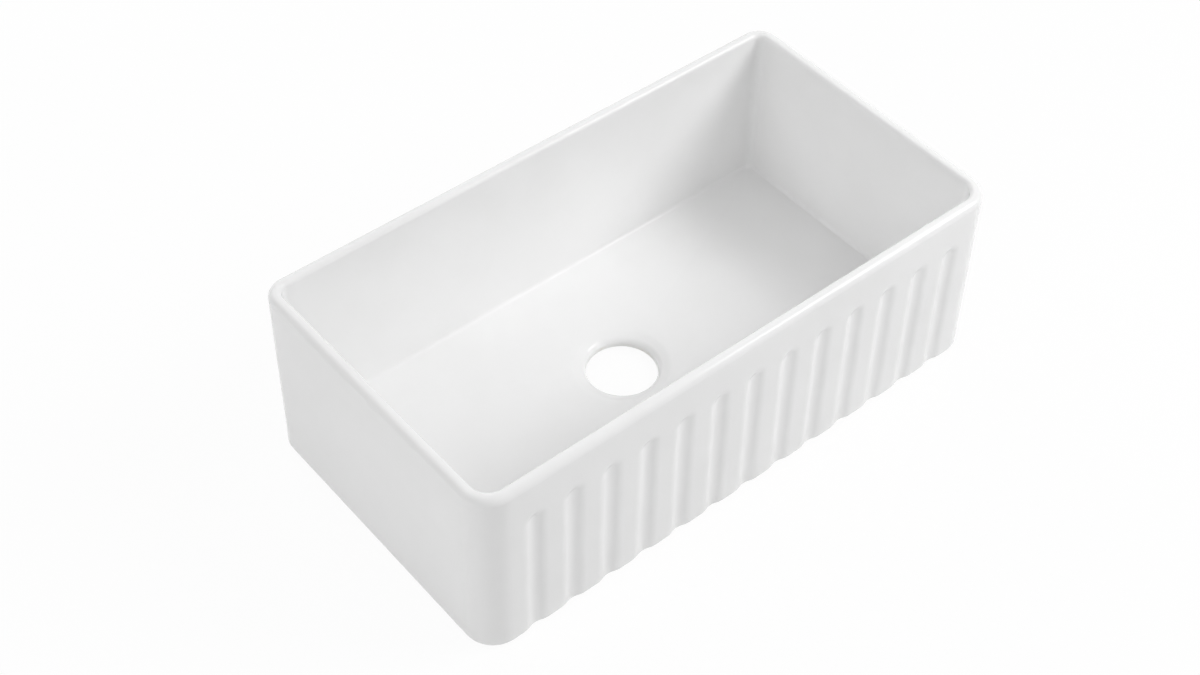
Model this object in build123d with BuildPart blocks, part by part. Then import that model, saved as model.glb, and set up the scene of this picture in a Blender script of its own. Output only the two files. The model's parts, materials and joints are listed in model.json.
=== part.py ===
from build123d import *
import math
import os

# Apron front kitchen sink: one fired fireclay body under a thick white glaze.
# Millimetres. Origin in the middle of the base, +X to the right, apron towards -Y, +Z up.

# Overall size
length = 762.0
depth = 410.0
height = 255.0
back_corner_radius = 28.0
front_corner_radius = 38.0
base_edge_radius = 8.0

# Glaze: it is wiped off below the glaze line, so the foot of the sink is bare clay
glaze_thickness = 1.0
glaze_line_height = 4.0

# Walls, measured at the rim, and the rounding of the rim
rim_thickness = 16.0
rim_outer_radius = 9.5
rim_inner_radius = 6.0

# Bowl: its draft in degrees, the height of its floor above the base and the hollow round the floor
bowl_draft_angle = 0.5
floor_edge_height = 31.0
floor_hollow_radius = 5.0

# Drain: a straight hole for a 90 mm strainer, a rounded lip above it and a shallow dish round that
drain_radius = 45.0
drain_offset_y = 22.0
drain_wall_bottom = 5.5
drain_wall_top = 10.5
drain_lip_radius = 9.0
drain_dish_radius = 62.0
drain_dish_height = 23.0

# Pocket in the underside, round the hole, where the nut of the strainer goes
strainer_pocket_radius = 72.0
strainer_pocket_edge_radius = 3.0

# Flutes: upright hollows with round tops, which run out through the foot of the apron
flute_count = 13
flute_pitch = 52.0
flute_width = 35.0
flute_depth = 3.2
flute_hollow_radius = 22.5
flute_top_height = 207.5

# A hollow and the two shoulders beside it are arcs that touch, flute_width apart where they leave the face
flute_half_width = flute_width / 2
flute_arcs = (flute_half_width**2 + flute_depth**2) / (2 * flute_depth)
flute_shoulder_radius = flute_arcs - flute_hollow_radius
flute_end_height = flute_top_height - flute_half_width
flute_axis_y = -depth / 2 + flute_depth - flute_hollow_radius
flute_places = [((i - (flute_count - 1) / 2) * flute_pitch, flute_axis_y) for i in range(flute_count)]


def rounded_outline(size_x, size_y, back_radius, front_radius):
    """Rectangle about the origin, with one radius for its back corners and one for its front corners."""
    with BuildSketch() as outline:
        Rectangle(size_x, size_y)
        fillet(outline.vertices().group_by(Axis.Y)[-1], back_radius)
        fillet(outline.vertices().group_by(Axis.Y)[0], front_radius)
    return outline.sketch


def fluted_block(setback):
    """Outside of the sink, with its walls and top set back into the clay."""
    with BuildPart() as block:
        with BuildSketch():
            add(rounded_outline(
                length - 2 * setback,
                depth - 2 * setback,
                back_corner_radius - setback,
                front_corner_radius - setback,
            ))
        extrude(amount=height - setback)
        with BuildSketch():
            with Locations(*flute_places):
                Circle(flute_hollow_radius + setback)
        extrude(amount=flute_end_height, mode=Mode.SUBTRACT)
        with Locations(*[(x, y, flute_end_height) for x, y in flute_places]):
            Sphere(flute_hollow_radius + setback, mode=Mode.SUBTRACT)

        apron = block.faces().filter_by(Axis.Y).sort_by(Axis.Y)[0]
        upright = apron.edges().filter_by(Axis.Z).sort_by(Axis.X)
        flute_sides = upright[1:-1]
        flute_tops = apron.edges().filter_by(GeomType.CIRCLE)
        fillet(flute_sides + flute_tops, flute_shoulder_radius - setback)
        fillet(block.faces().sort_by(Axis.Z)[0].edges(), base_edge_radius - setback)
        fillet(block.faces().sort_by(Axis.Z)[-1].edges(), rim_outer_radius - setback)
    return block.part


def bowl_space(grow):
    """Space inside the bowl down to the dish round the drain, grown into the clay."""
    wall = rim_thickness - grow
    floor_height = floor_edge_height - grow
    with BuildPart() as space:
        with BuildSketch(Plane.XY.offset(height)):
            add(rounded_outline(
                length - 2 * wall,
                depth - 2 * wall,
                back_corner_radius - wall,
                front_corner_radius - wall,
            ))
        extrude(amount=floor_height - height, taper=bowl_draft_angle)
        fillet(space.faces().sort_by(Axis.Z)[0].edges(), floor_hollow_radius - grow)
        floor_edges = space.faces().sort_by(Axis.Z)[0].edges()
        with BuildSketch(Plane.XY.offset(floor_height)):
            add(floor_edges)
            make_face()
        with BuildSketch(Plane.XY.offset(drain_dish_height - grow)):
            with Locations((0, drain_offset_y)):
                Circle(drain_dish_radius)
        loft()
    return space.part


def drain_space(grow):
    """Dish, lip and hole of the drain, grown into the clay. The lip is an arc that the dish touches."""
    lip_radius = drain_lip_radius - grow
    lip_x = drain_radius + drain_lip_radius
    dish_edge = (drain_dish_radius, drain_dish_height - grow)
    dish_rise = dish_edge[1] - drain_wall_top
    dish_run = drain_dish_radius - lip_x
    touch_angle = math.atan2(dish_rise, dish_run) + math.acos(lip_radius / math.hypot(dish_rise, dish_run))
    half_angle = (touch_angle + math.pi) / 2
    lip = [
        (lip_x + lip_radius * math.cos(angle), drain_wall_top + lip_radius * math.sin(angle))
        for angle in (touch_angle, half_angle, math.pi)
    ]
    with BuildPart() as space:
        with BuildSketch(Plane.XZ.offset(-drain_offset_y)):
            with BuildLine():
                Polyline((0, height), (drain_dish_radius, height), dish_edge, lip[0])
                ThreePointArc(*lip)
                Polyline(lip[-1], (lip[-1][0], 0), (0, 0), (0, height))
            make_face()
        revolve(axis=Axis((0, drain_offset_y, 0), (0, 0, 1)))
    return space.part


def strainer_pocket():
    """Round pocket in the underside, up to the foot of the drain's straight wall."""
    with BuildPart() as pocket:
        with BuildSketch():
            with Locations((0, drain_offset_y)):
                Circle(strainer_pocket_radius)
        extrude(amount=drain_wall_bottom)
        fillet(pocket.edges().group_by(Axis.Z)[-1], strainer_pocket_edge_radius)
    return pocket.part


def sink_form(setback):
    """The sink as one solid, with every surface that is glazed set back into the clay."""
    with BuildPart() as form:
        add(fluted_block(setback))
        add(bowl_space(setback), mode=Mode.SUBTRACT)
        mouth_edges = form.faces().filter_by(Axis.Z).sort_by(Axis.Z)[-1].inner_wires()[0].edges()
        fillet(mouth_edges, rim_inner_radius - setback)
        add(drain_space(setback), mode=Mode.SUBTRACT)
        add(strainer_pocket(), mode=Mode.SUBTRACT)
    return form.part


finished_sink = sink_form(0)

with BuildPart() as bare_clay:
    with BuildSketch():
        Rectangle(length, depth)
    extrude(amount=glaze_line_height)
    with BuildSketch():
        with Locations((0, drain_offset_y)):
            Circle(drain_radius + drain_lip_radius)
    extrude(amount=drain_wall_top)
    add(finished_sink, mode=Mode.INTERSECT)

with BuildPart() as fireclay_body:
    add(sink_form(glaze_thickness))
    add(bare_clay.part)
fireclay_body.part.label = "fireclay_body"

with BuildPart() as glaze_coat:
    add(finished_sink)
    add(fireclay_body.part, mode=Mode.SUBTRACT)
glaze_coat.part.label = "glaze_coat"

os.makedirs("parts", exist_ok=True)
export_step(fireclay_body.part, "parts/fireclay_body.step")
export_step(glaze_coat.part, "parts/glaze_coat.step")
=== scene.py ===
import json
import math

import bpy
from bpy.props import FloatProperty, FloatVectorProperty, IntProperty, PointerProperty
from mathutils import Matrix, Vector


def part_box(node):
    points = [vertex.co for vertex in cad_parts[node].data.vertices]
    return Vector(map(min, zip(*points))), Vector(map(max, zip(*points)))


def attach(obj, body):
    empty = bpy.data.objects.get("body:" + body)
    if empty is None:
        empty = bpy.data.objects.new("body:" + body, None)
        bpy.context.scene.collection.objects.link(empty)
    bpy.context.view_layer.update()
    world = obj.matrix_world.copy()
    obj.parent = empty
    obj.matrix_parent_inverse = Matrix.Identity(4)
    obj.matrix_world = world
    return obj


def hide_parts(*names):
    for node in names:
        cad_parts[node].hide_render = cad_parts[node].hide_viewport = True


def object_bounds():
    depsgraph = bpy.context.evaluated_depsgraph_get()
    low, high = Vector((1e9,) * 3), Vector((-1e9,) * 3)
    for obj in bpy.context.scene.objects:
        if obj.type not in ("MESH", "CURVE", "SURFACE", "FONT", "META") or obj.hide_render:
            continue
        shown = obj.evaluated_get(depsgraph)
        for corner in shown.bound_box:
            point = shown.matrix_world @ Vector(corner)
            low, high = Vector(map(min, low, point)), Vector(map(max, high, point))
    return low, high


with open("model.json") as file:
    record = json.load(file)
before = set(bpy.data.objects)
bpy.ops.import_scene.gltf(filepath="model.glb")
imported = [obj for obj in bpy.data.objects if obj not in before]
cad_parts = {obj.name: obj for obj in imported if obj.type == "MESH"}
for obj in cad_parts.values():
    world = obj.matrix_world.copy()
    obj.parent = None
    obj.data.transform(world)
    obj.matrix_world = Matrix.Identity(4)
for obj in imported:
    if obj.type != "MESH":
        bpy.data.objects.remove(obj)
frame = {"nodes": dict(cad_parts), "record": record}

bl_info = {
    "name": "Fluted apron sink finish",
    "version": (1, 0, 0),
    "blender": (4, 5, 0),
    "location": "View3D > Sidebar > Sink",
    "description": "Models the glaze of a fluted apron front sink, finishes its fireclay and lights it",
    "category": "Object",
}

BODY = "root"
CLAY_NODE = "fireclay_body"
GLAZE_NODE = "glaze_coat"
GLAZE_PIECE = "glaze_skin"

cad_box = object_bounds()
cad_size = cad_box[1] - cad_box[0]
glaze_low, glaze_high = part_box(GLAZE_NODE)
drain_mount = next(m for m in frame["record"]["mounts"] if m["name"] == "drain_hole")

MM = 0.001
UP = (0, 0, 1)
ALONG_X = (1, 0, 0)
QUARTER_TURN = math.pi / 2
DRAIN_CENTRE = Vector(drain_mount["pos_m"])
SINK_MIDDLE = Vector((0, 0, cad_size.z / 2))


def metres(name, description, millimetres):
    """A length property, given in millimetres and kept in metres."""
    return FloatProperty(
        name=name,
        description=description,
        default=millimetres * MM,
        min=0.0,
        precision=5,
        subtype="DISTANCE",
        unit="LENGTH",
    )


def degrees(name, description, value):
    """An angle property, given in degrees and kept in radians."""
    return FloatProperty(
        name=name,
        description=description,
        default=math.radians(value),
        subtype="ANGLE",
        unit="ROTATION",
    )


def share(name, description, value):
    """A property between 0 and 1."""
    return FloatProperty(
        name=name,
        description=description,
        default=value,
        min=0.0,
        max=1.0,
        subtype="FACTOR",
    )


def colour(name, description, value):
    """A colour property."""
    return FloatVectorProperty(
        name=name,
        description=description,
        default=value,
        min=0.0,
        max=1.0,
        size=3,
        subtype="COLOR",
    )


class SinkShape(bpy.types.PropertyGroup):
    """Sizes of the sink. Its outside, the glaze line and the drain hole come from the frame."""

    length: metres("Length", "From end to end", cad_size.x / MM)
    depth: metres("Depth", "From the apron to the back", cad_size.y / MM)
    height: metres("Height", "From the base to the rim", cad_size.z / MM)
    front_corner: metres("Front corner", "Radius of the two corners beside the apron", 38.0)
    back_corner: metres("Back corner", "Radius of the two back corners", 28.0)
    foot_radius: metres("Foot radius", "Rounding of the edge round the base", 8.0)
    glaze_line: metres("Glaze line", "Height at which the glaze ends", glaze_low.z / MM)
    wall: metres("Wall", "Thickness of the walls at the rim", 16.0)
    rim_outer: metres("Rim outer radius", "Rounding of the rim's outer edge", 9.5)
    rim_inner: metres("Rim inner radius", "Rounding of the rim's inner edge", 6.0)
    draft: degrees("Draft", "How far the bowl's walls lean out", 0.5)
    floor_height: metres("Floor height", "Height of the floor's edge above the base", 31.0)
    floor_hollow: metres("Floor hollow", "Radius between the walls and the floor", 5.0)
    dish_radius: metres("Dish radius", "Radius of the shallow dish round the drain", 62.0)
    dish_height: metres("Dish height", "Height of the dish's edge above the base", 23.0)
    lip_radius: metres("Lip radius", "Rounding of the drain's lip", 9.0)
    lip_height: metres("Lip height", "Height of the top of the drain's straight wall", 10.5)
    drain_radius: metres("Drain radius", "Radius of the drain hole", drain_mount["dims"]["r_mm"])
    pocket_radius: metres("Pocket radius", "Radius of the pocket in the underside, round the drain", 72.0)
    flute_count: IntProperty(name="Flutes", description="Number of flutes", default=13, min=1)
    flute_pitch: metres("Flute pitch", "From one flute to the next", 52.0)
    flute_width: metres("Flute width", "Width where a flute leaves the apron's face", 35.0)
    flute_depth: metres("Flute depth", "Depth of the middle of a flute", 3.2)
    flute_hollow: metres("Flute hollow", "Radius of the hollow of a flute", 22.5)
    flute_top: metres("Flute top", "Height of the round tops of the flutes", 207.5)
    glaze_thickness: metres("Glaze thickness", "Thickness of the glaze", 0.9)
    waviness: metres("Waviness", "Most that the glazed surface lies below its true shape", 0.5)
    wave_size: metres("Wave size", "Size of the waves in the glazed surface", 110.0)


class GlazeFinish(bpy.types.PropertyGroup):
    """Colours and gloss of the glaze."""

    thick: colour("Thick glaze", "Colour where the glaze is thick", (0.925, 0.925, 0.925))
    thin: colour("Thin glaze", "Colour where the glaze is thin", (0.905, 0.905, 0.904))
    speck: colour("Speck", "Colour of the small fired specks", (0.33, 0.29, 0.25))
    gloss: share("Roughness", "Roughness of the glaze where it is smoothest", 0.10)
    haze: share("Haze", "Roughness that water marks and handling add", 0.06)
    ripple: share("Ripple", "Strength of the fine ripple of the glaze", 0.16)
    refraction: FloatProperty(
        name="Refraction",
        description="Refractive index of the glaze",
        default=1.52,
        min=1.0,
    )


class ClayFinish(bpy.types.PropertyGroup):
    """Colours and grain of the bare fireclay."""

    light: colour("Light clay", "Colour of the lighter clay", (0.74, 0.68, 0.585))
    dark: colour("Dark clay", "Colour of the darker clay", (0.665, 0.6, 0.505))
    iron: colour("Iron specks", "Colour of the iron specks", (0.20, 0.13, 0.09))
    scuff: colour("Scuffs", "Colour of the ground and handled foot", (0.60, 0.555, 0.49))
    wash: colour("Glaze wash", "Colour of the thin glaze that reaches onto the clay", (0.83, 0.83, 0.82))
    roughness: share("Roughness", "Roughness of the bare clay", 0.88)
    wash_roughness: share("Wash roughness", "Roughness of the thin glaze on the clay", 0.35)
    grain: share("Grain", "Strength of the clay's grain", 0.5)


class StudioSettings(bpy.types.PropertyGroup):
    """Camera, floor and surroundings."""

    azimuth: degrees("Azimuth", "Camera's place round the sink, 0 in front of the apron", -41.84)
    elevation: degrees("Elevation", "Camera's height above the horizon", 44.71)
    roll: degrees("Roll", "Camera's roll", 2.16)
    distance: metres("Distance", "From the middle of the sink to the camera", 2408.33)
    slide_right: metres("Slide right", "Camera's slide to its own right", 5.44)
    slide_up: metres("Slide up", "Camera's slide to its own top", 66.13)
    floor_width: metres("Floor width", "Width of the floor", 14000.0)
    floor_colour: colour("Floor colour", "Colour that the floor throws back onto the sink", (0.9, 0.9, 0.9))
    sky: FloatProperty(name="Sky", description="Strength of the even light all round", default=0.0, min=0.0)
    ceiling: share("Ceiling", "How bright the ceiling is seen, where the walls are white", 0.8)
    floor_glow: share("Floor glow", "How much of the floor the camera sees as plain white", 0.94)


# The photograph's frame, in pixels, and the lens found from it
PHOTO_WIDTH = 1200
PHOTO_HEIGHT = 675
PHOTO_FOCUS = 2026.66
PHOTO_CENTRE = (640.36, 259.07)
SENSOR_MM = 36.0

# Steps of the glaze's mesh
FOOT_STEPS = 4
WALL_STEPS = 10
FLUTE_TOP_STEPS = 13
BAND_STEPS = 3
RIM_OUTER_STEPS = 10
RIM_INNER_STEPS = 8
BOWL_WALL_STEPS = 12
FLOOR_HOLLOW_STEPS = 7
FLUTE_STEPS = 24
FRONT_CORNER_STEPS = 14
BACK_CORNER_STEPS = 12
END_STEPS = 18
BACK_STEPS = 34
FLOOR_RINGS = 14
DISH_STEPS = 3
LIP_STEPS = 9

# Rounds of smoothing, and how far each one takes a point
FLOOR_SMOOTHING = 12
DISH_SMOOTHING = 6
SMOOTHING_SHARE = 0.5

# How far the fine rows of points reach past the flutes' round tops
FLUTE_MARGIN = 2 * MM

# Edges that turn by more than this stay sharp
SHARP_ANGLE = math.radians(45)

# Points closer together than this become one, and sizes that differ by less than NEAR count as equal
MERGE_DISTANCE = 0.01 * MM
NEAR = 0.05 * MM


# ---------------------------------------------------------------- modelling by hand


def select_nothing():
    """Deselects every object."""
    bpy.ops.object.select_all(action="DESELECT")


def start_at_point(name, point):
    """A new mesh in edit mode, with one point at that place."""
    select_nothing()
    bpy.ops.mesh.primitive_plane_add(size=MM, location=(0, 0, 0))
    piece = bpy.context.active_object
    piece.name = name
    piece.data.name = name
    bpy.ops.object.mode_set(mode="EDIT")
    bpy.ops.mesh.select_mode(type="VERT")
    bpy.ops.mesh.select_all(action="SELECT")
    bpy.ops.mesh.merge(type="CENTER")
    bpy.ops.transform.translate(value=point)
    return piece


def extrude(x=0.0, y=0.0, z=0.0, steps=1):
    """Extrudes what is selected that far in all, in that many steps."""
    bpy.ops.mesh.extrude_repeat(steps=steps, offset=(x / steps, y / steps, z / steps))


def turn(centre, axis, angle, steps):
    """Spins what is selected round an axis, by the right-hand rule."""
    bpy.ops.mesh.spin(steps=steps, angle=-angle, center=centre, axis=axis)


def select_points(piece, wanted):
    """Selects the points whose place passes the test, and nothing else. Returns how many there are."""
    bpy.ops.object.mode_set(mode="OBJECT")
    places = [wanted(point.co) for point in piece.data.vertices]
    for face in piece.data.polygons:
        face.select = False
    for edge in piece.data.edges:
        edge.select = False
    for point, chosen in zip(piece.data.vertices, places):
        point.select = chosen
    bpy.ops.object.mode_set(mode="EDIT")
    bpy.ops.mesh.select_mode(type="VERT")
    return sum(places)


def selected_places(piece):
    """Places of the selected points."""
    piece.update_from_editmode()
    return [point.co.copy() for point in piece.data.vertices if point.select]


def apply_modifier(piece, kind, **settings):
    """Adds a modifier to the piece, sets it up and applies it."""
    modifier = piece.modifiers.new(kind.title(), kind)
    for key, value in settings.items():
        setattr(modifier, key, value)
    bpy.context.view_layer.objects.active = piece
    bpy.ops.object.modifier_apply(modifier=modifier.name)


# ---------------------------------------------------------------- the glaze


def draw_wall_section(shape):
    """Draws the front wall's section at the apron's left end: foot, face, rim, bowl wall and hollow."""
    face_y = -shape.depth / 2
    left = -shape.length / 2 + shape.front_corner
    foot_angle = math.asin(1 - shape.glaze_line / shape.foot_radius)
    foot_y = face_y + shape.foot_radius * (1 - math.cos(foot_angle))
    piece = start_at_point(GLAZE_PIECE, (left, foot_y, shape.glaze_line))
    turn((left, face_y + shape.foot_radius, shape.foot_radius), ALONG_X, -foot_angle, FOOT_STEPS)

    flute_end = shape.flute_top - shape.flute_width / 2 - FLUTE_MARGIN
    band_start = shape.flute_top + FLUTE_MARGIN
    band_end = shape.height - shape.rim_outer
    extrude(z=flute_end - shape.foot_radius, steps=WALL_STEPS)
    extrude(z=band_start - flute_end, steps=FLUTE_TOP_STEPS)
    extrude(z=band_end - band_start, steps=BAND_STEPS)

    turn((left, face_y + shape.rim_outer, band_end), ALONG_X, -QUARTER_TURN, RIM_OUTER_STEPS)
    lean = math.tan(shape.draft)
    inner_y = face_y + shape.wall + shape.rim_inner * lean - shape.rim_inner / math.cos(shape.draft)
    extrude(y=inner_y - face_y - shape.rim_outer)
    inner_z = shape.height - shape.rim_inner
    turn((left, inner_y, inner_z), ALONG_X, shape.draft - QUARTER_TURN, RIM_INNER_STEPS)

    wall_top_y = inner_y + shape.rim_inner * math.cos(shape.draft)
    wall_top_z = shape.height - shape.rim_inner * (1 - math.sin(shape.draft))
    hollow_z = shape.floor_height + shape.floor_hollow
    wall_foot_z = hollow_z - shape.floor_hollow * math.sin(shape.draft)
    wall_foot_y = wall_top_y + (wall_top_z - wall_foot_z) * lean
    extrude(y=wall_foot_y - wall_top_y, z=wall_foot_z - wall_top_z, steps=BOWL_WALL_STEPS)
    hollow_y = wall_foot_y + shape.floor_hollow * math.cos(shape.draft)
    turn((left, hollow_y, hollow_z), ALONG_X, QUARTER_TURN - shape.draft, FLOOR_HOLLOW_STEPS)
    return piece


def sweep_walls(shape):
    """Takes the wall's section along the apron, round the four corners and back to where it began."""
    apron = shape.length - 2 * shape.front_corner
    flutes = shape.flute_count * shape.flute_pitch
    front = (shape.length / 2 - shape.front_corner, -shape.depth / 2 + shape.front_corner)
    back = (shape.length / 2 - shape.back_corner, shape.depth / 2 - shape.back_corner)
    end = back[1] - front[1]

    bpy.ops.mesh.select_all(action="SELECT")
    extrude(x=(apron - flutes) / 2)
    extrude(x=flutes, steps=shape.flute_count * FLUTE_STEPS)
    extrude(x=(apron - flutes) / 2)
    turn((front[0], front[1], 0), UP, QUARTER_TURN, FRONT_CORNER_STEPS)
    extrude(y=end, steps=END_STEPS)
    turn((back[0], back[1], 0), UP, QUARTER_TURN, BACK_CORNER_STEPS)
    extrude(x=-2 * back[0], steps=BACK_STEPS)
    turn((-back[0], back[1], 0), UP, QUARTER_TURN, BACK_CORNER_STEPS)
    extrude(y=-end, steps=END_STEPS)
    turn((-front[0], front[1], 0), UP, QUARTER_TURN, FRONT_CORNER_STEPS)
    bpy.ops.mesh.select_all(action="SELECT")
    bpy.ops.mesh.remove_doubles(threshold=MERGE_DISTANCE)


def drain_distance(place):
    """Distance of a point from the drain's axis."""
    return (place.xy - DRAIN_CENTRE.xy).length


def draw_in(piece, keep, add=0.0):
    """Draws the selected ring in: each point's distance from the drain becomes keep times it, plus add."""
    places = selected_places(piece)
    mean = sum(drain_distance(place) for place in places) / len(places)
    middle = (DRAIN_CENTRE.x, DRAIN_CENTRE.y, places[0].z)
    scale = keep + add / mean
    bpy.ops.transform.resize(value=(scale, scale, 1), center_override=middle)
    if add:
        bpy.ops.transform.tosphere(value=add / mean / scale, center_override=middle)


def drain_section(shape):
    """Radius and height of each ring from the dish's edge down to the foot of the lip, which is an arc."""
    lip_middle = shape.drain_radius + shape.lip_radius
    rise = shape.dish_height - shape.lip_height
    run = shape.dish_radius - lip_middle
    touch = math.atan2(rise, run) + math.acos(shape.lip_radius / math.hypot(rise, run))
    touch_radius = lip_middle + shape.lip_radius * math.cos(touch)
    touch_height = shape.lip_height + shape.lip_radius * math.sin(touch)
    rings = []
    for step in range(1, DISH_STEPS + 1):
        rings.append((
            shape.dish_radius + (touch_radius - shape.dish_radius) * step / DISH_STEPS,
            shape.dish_height + (touch_height - shape.dish_height) * step / DISH_STEPS,
        ))
    for step in range(1, LIP_STEPS + 1):
        angle = touch + (math.pi - touch) * step / LIP_STEPS
        rings.append((
            lip_middle + shape.lip_radius * math.cos(angle),
            shape.lip_height + shape.lip_radius * math.sin(angle),
        ))
    return rings


def close_floor(piece, shape):
    """Draws the floor's edge in to the round dish, then down over the lip to the drain's straight wall."""
    found = select_points(piece, lambda place: abs(place.z - shape.floor_height) < NEAR)
    if not found:
        raise RuntimeError("the floor's edge wasn't found")
    fall = shape.dish_height - shape.floor_height
    for ring in range(FLOOR_RINGS):
        rings_left = FLOOR_RINGS - ring
        extrude(z=fall / FLOOR_RINGS)
        draw_in(piece, 1 - 1 / rings_left, shape.dish_radius / rings_left)

    radius, height = shape.dish_radius, shape.dish_height
    for next_radius, next_height in drain_section(shape):
        extrude(z=next_height - height)
        draw_in(piece, next_radius / radius)
        radius, height = next_radius, next_height


def soften_floor(piece, shape):
    """Smooths the heights of the floor, and of the edge of the dish, as thick glaze does."""
    inner = shape.wall + 2 * shape.floor_hollow

    def on_floor(place):
        inside = abs(place.x) < shape.length / 2 - inner and abs(place.y) < shape.depth / 2 - inner
        return inside and drain_distance(place) > shape.dish_radius + NEAR

    def on_dish(place):
        return abs(drain_distance(place) - shape.dish_radius) < shape.lip_radius

    for wanted, rounds in ((on_floor, FLOOR_SMOOTHING), (on_dish, DISH_SMOOTHING)):
        select_points(piece, wanted)
        bpy.ops.mesh.vertices_smooth(factor=SMOOTHING_SHARE, repeat=rounds, xaxis=False, yaxis=False)


def flute_share(shape, x, z):
    """How deep the apron is at a place, as a share of the depth of a flute: two arcs that touch."""
    half_width = shape.flute_width / 2
    middle = (shape.flute_count - 1) / 2
    nearest = min(max(round(x / shape.flute_pitch + middle), 0), shape.flute_count - 1) - middle
    above = max(0.0, z - (shape.flute_top - half_width))
    away = math.hypot(x - nearest * shape.flute_pitch, above)
    if away >= half_width:
        return 0.0
    arcs = (half_width**2 + shape.flute_depth**2) / (2 * shape.flute_depth)
    shoulder = arcs - shape.flute_hollow
    if away > half_width * shape.flute_hollow / arcs:
        deep = shoulder - math.sqrt(shoulder**2 - (half_width - away) ** 2)
    else:
        deep = math.sqrt(shape.flute_hollow**2 - away**2) - shape.flute_hollow + shape.flute_depth
    return deep / shape.flute_depth


def press_flutes(piece, shape):
    """Presses the flutes into the apron, by a weight on each of its points."""
    bpy.ops.object.mode_set(mode="OBJECT")
    flutes = piece.vertex_groups.new(name="flutes")
    front = -shape.depth / 2 + shape.foot_radius
    for point in piece.data.vertices:
        if point.co.y < front and point.co.z < shape.flute_top:
            flutes.add([point.index], flute_share(shape, point.co.x, point.co.z), "REPLACE")
    apply_modifier(
        piece,
        "DISPLACE",
        direction="Y",
        strength=shape.flute_depth,
        mid_level=0.0,
        vertex_group=flutes.name,
    )
    piece.vertex_groups.clear()


def roll_surface(piece, shape):
    """Gives the surface the slow waves of a fired body: always inwards, and none where the glaze ends."""
    waves = bpy.data.textures.new("slow waves", "CLOUDS")
    waves.noise_scale = shape.wave_size
    waves.noise_depth = 1
    free = piece.vertex_groups.new(name="free")
    for point in piece.data.vertices:
        above = (point.co.z - shape.glaze_line) / (shape.floor_height - shape.glaze_line)
        free.add([point.index], min(max(above, 0.0), 1.0), "REPLACE")
    apply_modifier(
        piece,
        "DISPLACE",
        texture=waves,
        texture_coords="LOCAL",
        direction="NORMAL",
        strength=shape.waviness,
        mid_level=1.0,
        vertex_group=free.name,
    )
    piece.vertex_groups.clear()


def face_outwards(piece):
    """Makes all the faces point out of the clay."""
    bpy.ops.mesh.select_all(action="SELECT")
    bpy.ops.mesh.normals_make_consistent(inside=False)
    piece.update_from_editmode()
    highest = max(piece.data.polygons, key=lambda face: face.center.z)
    if highest.normal.z < 0:
        bpy.ops.mesh.flip_normals()


def thicken(piece, shape):
    """Gives the skin its thickness, into the clay, and smooth shading with the glaze's end left sharp."""
    apply_modifier(piece, "SOLIDIFY", thickness=shape.glaze_thickness, offset=-1.0, use_even_offset=True)
    bpy.ops.object.shade_smooth_by_angle(angle=SHARP_ANGLE)
    apply_modifier(piece, "WEIGHTED_NORMAL", keep_sharp=True)


class SINK_OT_model_glaze(bpy.types.Operator):
    """Model the glaze: walls, rim, bowl, floor, drain and flutes, as one closed skin."""

    bl_idname = "sink.model_glaze"
    bl_label = "Model the Glaze"
    bl_options = {"REGISTER", "UNDO"}

    def execute(self, context):
        shape = context.scene.sink_shape
        piece = draw_wall_section(shape)
        sweep_walls(shape)
        close_floor(piece, shape)
        soften_floor(piece, shape)
        face_outwards(piece)
        press_flutes(piece, shape)
        roll_surface(piece, shape)
        thicken(piece, shape)
        piece.data.materials.clear()
        piece.data.materials.append(glaze_material(context.scene.sink_glaze))
        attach(piece, BODY)
        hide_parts(GLAZE_NODE)
        return {"FINISHED"}


# ---------------------------------------------------------------- materials


# Patterns of the glaze. Each scale is about how many times a metre the pattern repeats.
POOLING_SCALE = 7.0
MARKS_SCALE = 11.0
FINE_MARKS_SCALE = 90.0
GLAZE_SPECKS = {"Scale": 38.0, "Size": 0.032, "Share": 0.05}
GLAZE_RIPPLE = {"Roll Scale": 16.0, "Ripple Scale": 420.0, "Ripple Share": 0.3}

# How deep a speck is pitted, against the height of the roll, and how much of its radius is plain,
# inside its soft edge
PIT_DEPTH = 0.3
SPECK_CORE = 0.5

# Patterns of the clay
MOTTLE_SCALE = 18.0
SCUFFS_SCALE = 70.0
WASH_SCALE = 60.0
IRON_SPECKS = {"Scale": 190.0, "Size": 0.3, "Share": 0.16}
CLAY_GRAIN = {"Roll Scale": 260.0, "Ripple Scale": 1400.0, "Ripple Share": 0.8}
GRAIN_DEPTH = 0.25 * MM

# How high the foot is scuffed, and how strongly at its lowest
SCUFF_HEIGHT = 0.6 * MM
SCUFF_SHARE = 0.75

# How far the wash of glaze reaches down from the glaze line, and its strength at the line
WASH_REACH = 1.6 * MM
WASH_SHARE = 0.9

# Distances from the drain hole's wall between which the wash of glaze fades out
HOLE_WASH_START = 2 * MM
HOLE_WASH_END = 6 * MM

# Sockets of a Mix node that mixes colours, where several have the same name
MIX_FACTOR = 0
MIX_FIRST = 6
MIX_SECOND = 7
MIX_RESULT = 2

WHITE = (1, 1, 1, 1)


def new_group(name, inputs, outputs):
    """A node group with named sockets: name, kind and default of each input, name and kind of each output."""
    group = bpy.data.node_groups.new(name, "ShaderNodeTree")
    for socket_name, kind, default in inputs:
        socket = group.interface.new_socket(socket_name, in_out="INPUT", socket_type=kind)
        if default is not None:
            socket.default_value = default
    for socket_name, kind in outputs:
        group.interface.new_socket(socket_name, in_out="OUTPUT", socket_type=kind)
    return group, group.nodes.new("NodeGroupInput"), group.nodes.new("NodeGroupOutput")


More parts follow.
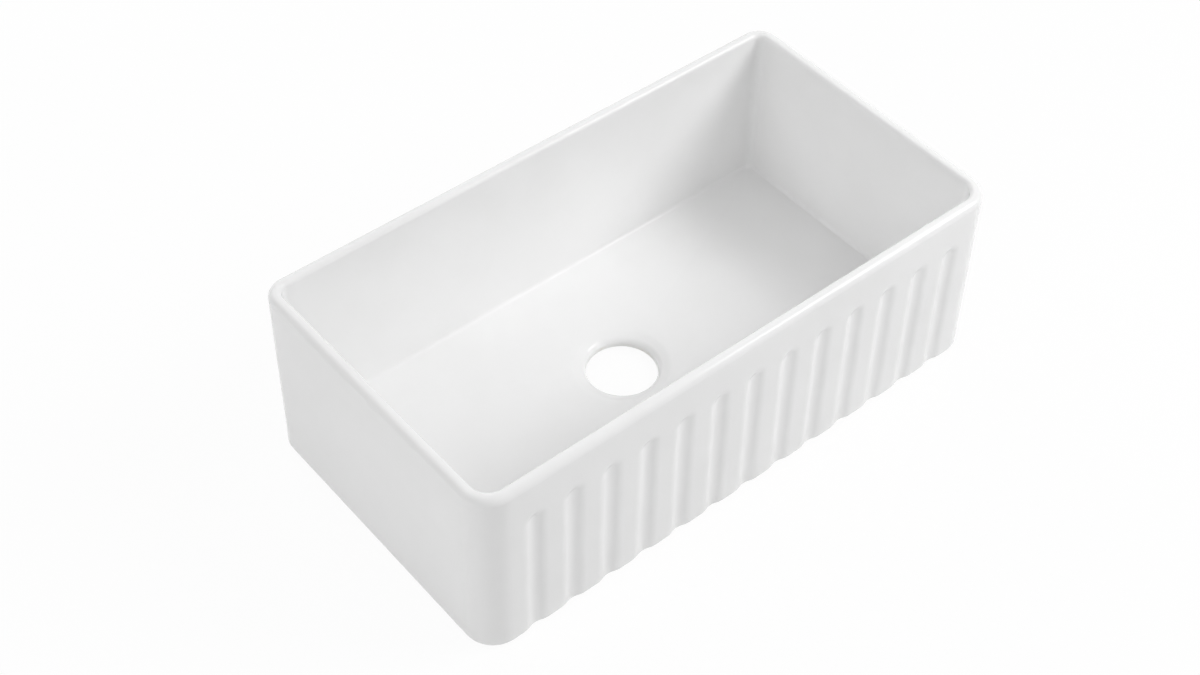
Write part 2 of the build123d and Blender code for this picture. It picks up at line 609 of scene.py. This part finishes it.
def add_node(tree, kind, links=(), **settings):
    """A node with its settings, and its inputs linked to sockets or set to values."""
    node = tree.nodes.new(kind)
    for key, value in settings.items():
        setattr(node, key, value)
    for key, source in dict(links).items():
        if isinstance(source, bpy.types.NodeSocket):
            tree.links.new(source, node.inputs[key])
        else:
            node.inputs[key].default_value = source
    return node


def noise(tree, place, scale, detail=2.0, distortion=0.0):
    """Value of a noise at a place."""
    links = {"Vector": place, "Scale": scale, "Detail": detail, "Distortion": distortion}
    return add_node(tree, "ShaderNodeTexNoise", links).outputs["Fac"]


def ramp(tree, value, low, high, to_low=0.0, to_high=1.0):
    """A value taken from one range to another, smoothly, and kept inside it."""
    links = {"Value": value, "From Min": low, "From Max": high, "To Min": to_low, "To Max": to_high}
    node = add_node(tree, "ShaderNodeMapRange", links, interpolation_type="SMOOTHSTEP")
    return node.outputs["Result"]


def calculate(tree, operation, first, second=0.0):
    """Two values put together."""
    node = add_node(tree, "ShaderNodeMath", {0: first, 1: second}, operation=operation)
    return node.outputs["Value"]


def as_colour(source):
    """A colour's socket as it is, or its three values with a full alpha."""
    return source if isinstance(source, bpy.types.NodeSocket) else (*source, 1.0)


def mix_colours(tree, factor, first, second):
    """Two colours mixed by a factor."""
    links = {MIX_FACTOR: factor, MIX_FIRST: as_colour(first), MIX_SECOND: as_colour(second)}
    return add_node(tree, "ShaderNodeMix", links, data_type="RGBA").outputs[MIX_RESULT]


def ripple_group():
    """Height of a slow roll and a fine ripple together, for glaze and for clay."""
    group, inside, outside = new_group(
        "Ripple",
        [
            ("Place", "NodeSocketVector", None),
            ("Roll Scale", "NodeSocketFloat", 14.0),
            ("Ripple Scale", "NodeSocketFloat", 150.0),
            ("Ripple Share", "NodeSocketFloat", 0.2),
        ],
        [("Height", "NodeSocketFloat")],
    )
    sockets = inside.outputs
    roll = noise(group, sockets["Place"], sockets["Roll Scale"], detail=1.0, distortion=0.3)
    fine = noise(group, sockets["Place"], sockets["Ripple Scale"], detail=1.0)
    fine_part = calculate(group, "MULTIPLY", fine, sockets["Ripple Share"])
    group.links.new(calculate(group, "ADD", roll, fine_part), outside.inputs["Height"])
    return group


def specks_group():
    """Mask of small round specks, of which only some cells of a grid have one."""
    group, inside, outside = new_group(
        "Specks",
        [
            ("Place", "NodeSocketVector", None),
            ("Scale", "NodeSocketFloat", 60.0),
            ("Size", "NodeSocketFloat", 0.03),
            ("Share", "NodeSocketFloat", 0.1),
        ],
        [("Mask", "NodeSocketFloat")],
    )
    sockets = inside.outputs
    links = {"Vector": sockets["Place"], "Scale": sockets["Scale"]}
    cells = add_node(group, "ShaderNodeTexVoronoi", links)
    pick = add_node(group, "ShaderNodeSeparateColor", {"Color": cells.outputs["Color"]})
    chosen = calculate(group, "LESS_THAN", pick.outputs["Red"], sockets["Share"])
    reach = calculate(group, "MULTIPLY", pick.outputs["Green"], sockets["Size"])
    core = calculate(group, "MULTIPLY", reach, SPECK_CORE)
    dot = ramp(group, cells.outputs["Distance"], core, reach, 1.0, 0.0)
    group.links.new(calculate(group, "MULTIPLY", dot, chosen), outside.inputs["Mask"])
    return group


def ripple(tree, place, values):
    """Height of the shared ripple at a place. The group is made the first time that it is asked for."""
    group = bpy.data.node_groups.get("Ripple") or ripple_group()
    return add_node(tree, "ShaderNodeGroup", {"Place": place, **values}, node_tree=group).outputs["Height"]


def specks(tree, place, values):
    """Mask of the shared specks at a place. The group is made the first time that it is asked for."""
    group = bpy.data.node_groups.get("Specks") or specks_group()
    return add_node(tree, "ShaderNodeGroup", {"Place": place, **values}, node_tree=group).outputs["Mask"]


def bump(tree, shader, height, strength, distance):
    """Feeds a height to the shader's normal."""
    node = add_node(tree, "ShaderNodeBump", {"Height": height, "Strength": strength, "Distance": distance})
    tree.links.new(node.outputs["Normal"], shader.inputs["Normal"])


def new_material(name):
    """A material with its shader, and the place on the piece."""
    material = bpy.data.materials.new(name)
    material.use_nodes = True
    tree = material.node_tree
    shader = tree.nodes["Principled BSDF"]
    place = tree.nodes.new("ShaderNodeTexCoord").outputs["Object"]
    return material, tree, shader, place


def glaze_material(finish):
    """Thick white glaze: high gloss, a slow roll in its reflections, faint pooling and a few fired specks."""
    material, tree, shader, place = new_material("fired_glaze")
    pooling = ramp(tree, noise(tree, place, POOLING_SCALE, detail=3.0), 0.35, 0.65)
    speck_mask = specks(tree, place, GLAZE_SPECKS)
    white = mix_colours(tree, pooling, finish.thin, finish.thick)
    tree.links.new(mix_colours(tree, speck_mask, white, finish.speck), shader.inputs["Base Color"])

    marks = ramp(tree, noise(tree, place, MARKS_SCALE, detail=5.0, distortion=0.6), 0.45, 0.75)
    fine_marks = ramp(tree, noise(tree, place, FINE_MARKS_SCALE, detail=2.0), 0.4, 0.7)
    haze = calculate(tree, "MULTIPLY", calculate(tree, "MULTIPLY", marks, fine_marks), finish.haze)
    tree.links.new(calculate(tree, "ADD", haze, finish.gloss), shader.inputs["Roughness"])

    pits = calculate(tree, "MULTIPLY", speck_mask, -PIT_DEPTH)
    height = calculate(tree, "ADD", ripple(tree, place, GLAZE_RIPPLE), pits)
    bump(tree, shader, height, finish.ripple, MM)
    shader.inputs["IOR"].default_value = finish.refraction
    return material


def drain_distance_node(tree, place):
    """Distance of a place from the drain's axis."""
    centre = (DRAIN_CENTRE.x, DRAIN_CENTRE.y, 0)
    offset = add_node(tree, "ShaderNodeVectorMath", {0: place, 1: centre}, operation="SUBTRACT")
    level = {0: offset.outputs["Vector"], 1: (1, 1, 0)}
    flat = add_node(tree, "ShaderNodeVectorMath", level, operation="MULTIPLY")
    distance = add_node(tree, "ShaderNodeVectorMath", {0: flat.outputs["Vector"]}, operation="LENGTH")
    return distance.outputs["Value"]


def wash_mask(tree, place, height, shape):
    """Where thin glaze lies on the clay: beside the glaze line, and in and round the drain hole."""
    reach = drain_distance_node(tree, place)
    start = shape.drain_radius + HOLE_WASH_START
    end = shape.drain_radius + HOLE_WASH_END
    in_hole = ramp(tree, reach, start, end, 1.0, 0.0)
    near_line = ramp(tree, height, shape.glaze_line - WASH_REACH, shape.glaze_line, 0.0, WASH_SHARE)
    # The pocket's wall is as high as the glaze line, but there is no glaze beside it
    past_pocket = ramp(tree, reach, shape.pocket_radius, 2 * shape.pocket_radius)
    at_foot = calculate(tree, "MULTIPLY", near_line, past_pocket)
    ragged = ramp(tree, noise(tree, place, WASH_SCALE, detail=3.0), 0.2, 0.5, 0.6, 1.0)
    return calculate(tree, "MULTIPLY", calculate(tree, "MAXIMUM", in_hole, at_foot), ragged)


def clay_material(finish, shape):
    """Bare fired clay: mottled buff, iron specks, a gritty grain, a ground foot and thin glaze in places."""
    material, tree, shader, place = new_material("bare_clay")
    mottle = ramp(tree, noise(tree, place, MOTTLE_SCALE, detail=7.0), 0.3, 0.7)
    clay = mix_colours(tree, mottle, finish.dark, finish.light)
    clay = mix_colours(tree, specks(tree, place, IRON_SPECKS), clay, finish.iron)

    height = add_node(tree, "ShaderNodeSeparateXYZ", {"Vector": place}).outputs["Z"]
    scuffs = ramp(tree, noise(tree, place, SCUFFS_SCALE, detail=8.0, distortion=0.2), 0.45, 0.7)
    low_down = ramp(tree, height, 0.0, SCUFF_HEIGHT, SCUFF_SHARE, 0.0)
    clay = mix_colours(tree, calculate(tree, "MULTIPLY", low_down, scuffs), clay, finish.scuff)

    wash = wash_mask(tree, place, height, shape)
    tree.links.new(mix_colours(tree, wash, clay, finish.wash), shader.inputs["Base Color"])
    roughness = ramp(tree, wash, 0.0, 1.0, finish.roughness, finish.wash_roughness)
    tree.links.new(roughness, shader.inputs["Roughness"])
    bump(tree, shader, ripple(tree, place, CLAY_GRAIN), finish.grain, GRAIN_DEPTH)
    return material


class SINK_OT_finish_clay(bpy.types.Operator):
    """Finish the bare fireclay of the foot, the underside and the drain's straight wall."""

    bl_idname = "sink.finish_clay"
    bl_label = "Finish the Fireclay"
    bl_options = {"REGISTER", "UNDO"}

    def execute(self, context):
        scene = context.scene
        slots = frame["nodes"][CLAY_NODE].material_slots
        if not slots:
            raise RuntimeError("the clay node has no material slot")
        material = clay_material(scene.sink_clay, scene.sink_shape)
        for slot in slots:
            slot.material = material
        return {"FINISHED"}


# ---------------------------------------------------------------- the studio


# Sines of the heights between which the studio's white walls pass into its ceiling
WALL_TOP = 0.15
CEILING_EDGE = 0.5

# Lamps: name, azimuth and elevation in degrees, distance and size in metres, power in watts,
# and whether the glaze mirrors it
LAMPS = (
    ("key", 54.0, 40.0, 3.2, 1.7, 32.0, False),
    ("glint", 54.0, 40.0, 3.1, 1.4, 26.0, True),
    ("upper_right", 60.0, 60.0, 2.6, 1.5, 4.5, False),
    ("right", 90.0, 25.0, 2.6, 1.5, 3.5, False),
    ("back_right", 150.0, 50.0, 2.6, 1.5, 7.5, False),
    ("back", 180.0, 25.0, 2.6, 1.5, 23.5, False),
    ("back_left", 225.0, 50.0, 2.6, 1.5, 5.0, False),
    ("left", 270.0, 25.0, 2.6, 1.5, 16.0, False),
    ("front_left", 300.0, 50.0, 2.6, 1.5, 9.0, False),
    ("front_low", 330.0, 30.0, 2.6, 1.5, 4.0, False),
    ("front_high", 0.0, 50.0, 2.6, 1.5, 6.5, False),
)


def direction(azimuth, elevation):
    """Unit vector from the sink to a place round it. Azimuth 0 is in front of the apron."""
    return Vector((
        math.sin(azimuth) * math.cos(elevation),
        -math.cos(azimuth) * math.cos(elevation),
        math.sin(elevation),
    ))


def add_lamp(name, azimuth, elevation, distance, size, power, mirrored):
    """A square soft box that looks at the sink."""
    back = direction(math.radians(azimuth), math.radians(elevation))
    turned = back.to_track_quat("Z", "Y").to_euler()
    select_nothing()
    bpy.ops.object.light_add(type="AREA", location=SINK_MIDDLE + back * distance, rotation=turned)
    lamp = bpy.context.active_object
    lamp.name = name
    lamp.data.shape = "SQUARE"
    lamp.data.size = size
    lamp.data.energy = power
    lamp.visible_glossy = mirrored


def add_camera(settings):
    """The camera at the photograph's place, with its lens and shift."""
    back = direction(settings.azimuth, settings.elevation)
    level = Vector((math.cos(settings.azimuth), math.sin(settings.azimuth), 0))
    upright = back.cross(level)
    cos_roll, sin_roll = math.cos(settings.roll), math.sin(settings.roll)
    right = level * cos_roll + upright * sin_roll
    top = upright * cos_roll - level * sin_roll
    place = SINK_MIDDLE + back * settings.distance + right * settings.slide_right + top * settings.slide_up
    turned = Matrix((right, top, back)).transposed()
    bpy.ops.object.camera_add(location=place, rotation=turned.to_euler())
    camera = bpy.context.active_object
    camera.name = "photo_camera"
    camera.data.sensor_width = SENSOR_MM
    camera.data.lens = PHOTO_FOCUS / PHOTO_WIDTH * SENSOR_MM
    camera.data.shift_x = (PHOTO_WIDTH / 2 - PHOTO_CENTRE[0]) / PHOTO_WIDTH
    camera.data.shift_y = (PHOTO_CENTRE[1] - PHOTO_HEIGHT / 2) / PHOTO_WIDTH
    bpy.context.scene.camera = camera


def seen_plainly(tree):
    """1 for a ray from the camera, or one that a gloss or a glass sends on."""
    rays = tree.nodes.new("ShaderNodeLightPath").outputs
    either = calculate(tree, "MAXIMUM", rays["Is Camera Ray"], rays["Is Glossy Ray"])
    return calculate(tree, "MAXIMUM", either, rays["Is Transmission Ray"])


def floor_material(settings):
    """Matt white floor that is seen as nearly plain white, and still takes a shadow."""
    material = bpy.data.materials.new("studio_floor")
    material.use_nodes = True
    tree = material.node_tree
    tree.nodes.clear()
    glow = calculate(tree, "MULTIPLY", seen_plainly(tree), settings.floor_glow)
    matt = add_node(tree, "ShaderNodeBsdfDiffuse", {"Color": as_colour(settings.floor_colour)})
    white = add_node(tree, "ShaderNodeEmission", {"Color": WHITE, "Strength": 1.0})
    mixed = add_node(tree, "ShaderNodeMixShader", {0: glow, 1: matt.outputs[0], 2: white.outputs[0]})
    add_node(tree, "ShaderNodeOutputMaterial", {"Surface": mixed.outputs[0]})
    return material


def set_world(settings):
    """Even white light all round, seen as white walls under a dimmer ceiling."""
    world = bpy.data.worlds.new("studio_sky")
    bpy.context.scene.world = world
    world.use_nodes = True
    tree = world.node_tree
    tree.nodes.clear()
    sky = add_node(tree, "ShaderNodeBackground", {"Color": WHITE, "Strength": settings.sky})
    towards = add_node(tree, "ShaderNodeTexCoord").outputs["Generated"]
    height = add_node(tree, "ShaderNodeSeparateXYZ", {"Vector": towards}).outputs["Z"]
    seen = ramp(tree, height, WALL_TOP, CEILING_EDGE, 1.0, settings.ceiling)
    white = add_node(tree, "ShaderNodeBackground", {"Color": WHITE, "Strength": seen})
    is_seen = seen_plainly(tree)
    mixed = add_node(tree, "ShaderNodeMixShader", {0: is_seen, 1: sky.outputs[0], 2: white.outputs[0]})
    add_node(tree, "ShaderNodeOutputWorld", {"Surface": mixed.outputs[0]})


class SINK_OT_set_stage(bpy.types.Operator):
    """Set the stage: a plain pale floor, soft studio light and the camera."""

    bl_idname = "sink.set_stage"
    bl_label = "Set the Stage"
    bl_options = {"REGISTER", "UNDO"}

    def execute(self, context):
        settings = context.scene.sink_studio
        select_nothing()
        bpy.ops.mesh.primitive_plane_add(size=settings.floor_width, location=(0, 0, 0))
        floor = context.active_object
        floor.name = "studio_floor"
        floor.data.materials.append(floor_material(settings))
        set_world(settings)
        for lamp in LAMPS:
            add_lamp(*lamp)
        add_camera(settings)
        context.scene.view_settings.view_transform = "Standard"
        return {"FINISHED"}


# ---------------------------------------------------------------- the panel


class SINK_PT_panel(bpy.types.Panel):
    """Lists the sink's operators and settings."""

    bl_label = "Fluted Apron Sink"
    bl_idname = "SINK_PT_panel"
    bl_space_type = "VIEW_3D"
    bl_region_type = "UI"
    bl_category = "Sink"

    def draw(self, context):
        for operator in OPERATORS:
            self.layout.operator(operator.bl_idname)
        for name, group in SETTINGS.items():
            box = self.layout.box()
            box.label(text=group.__name__)
            for key in group.__annotations__:
                box.prop(getattr(context.scene, name), key)


SETTINGS = {
    "sink_shape": SinkShape,
    "sink_glaze": GlazeFinish,
    "sink_clay": ClayFinish,
    "sink_studio": StudioSettings,
}
OPERATORS = (SINK_OT_model_glaze, SINK_OT_finish_clay, SINK_OT_set_stage)
CLASSES = (*SETTINGS.values(), *OPERATORS, SINK_PT_panel)


def register():
    """Registers the classes and gives the scene its settings."""
    for each in CLASSES:
        bpy.utils.register_class(each)
    for name, group in SETTINGS.items():
        setattr(bpy.types.Scene, name, PointerProperty(type=group))


def unregister():
    """Takes the settings off the scene and unregisters the classes."""
    for name in SETTINGS:
        delattr(bpy.types.Scene, name)
    for each in reversed(CLASSES):
        bpy.utils.unregister_class(each)


def main():
    register()
    bpy.ops.sink.model_glaze()
    bpy.ops.sink.finish_clay()
    bpy.ops.sink.set_stage()


if __name__ == "__main__":
    main()
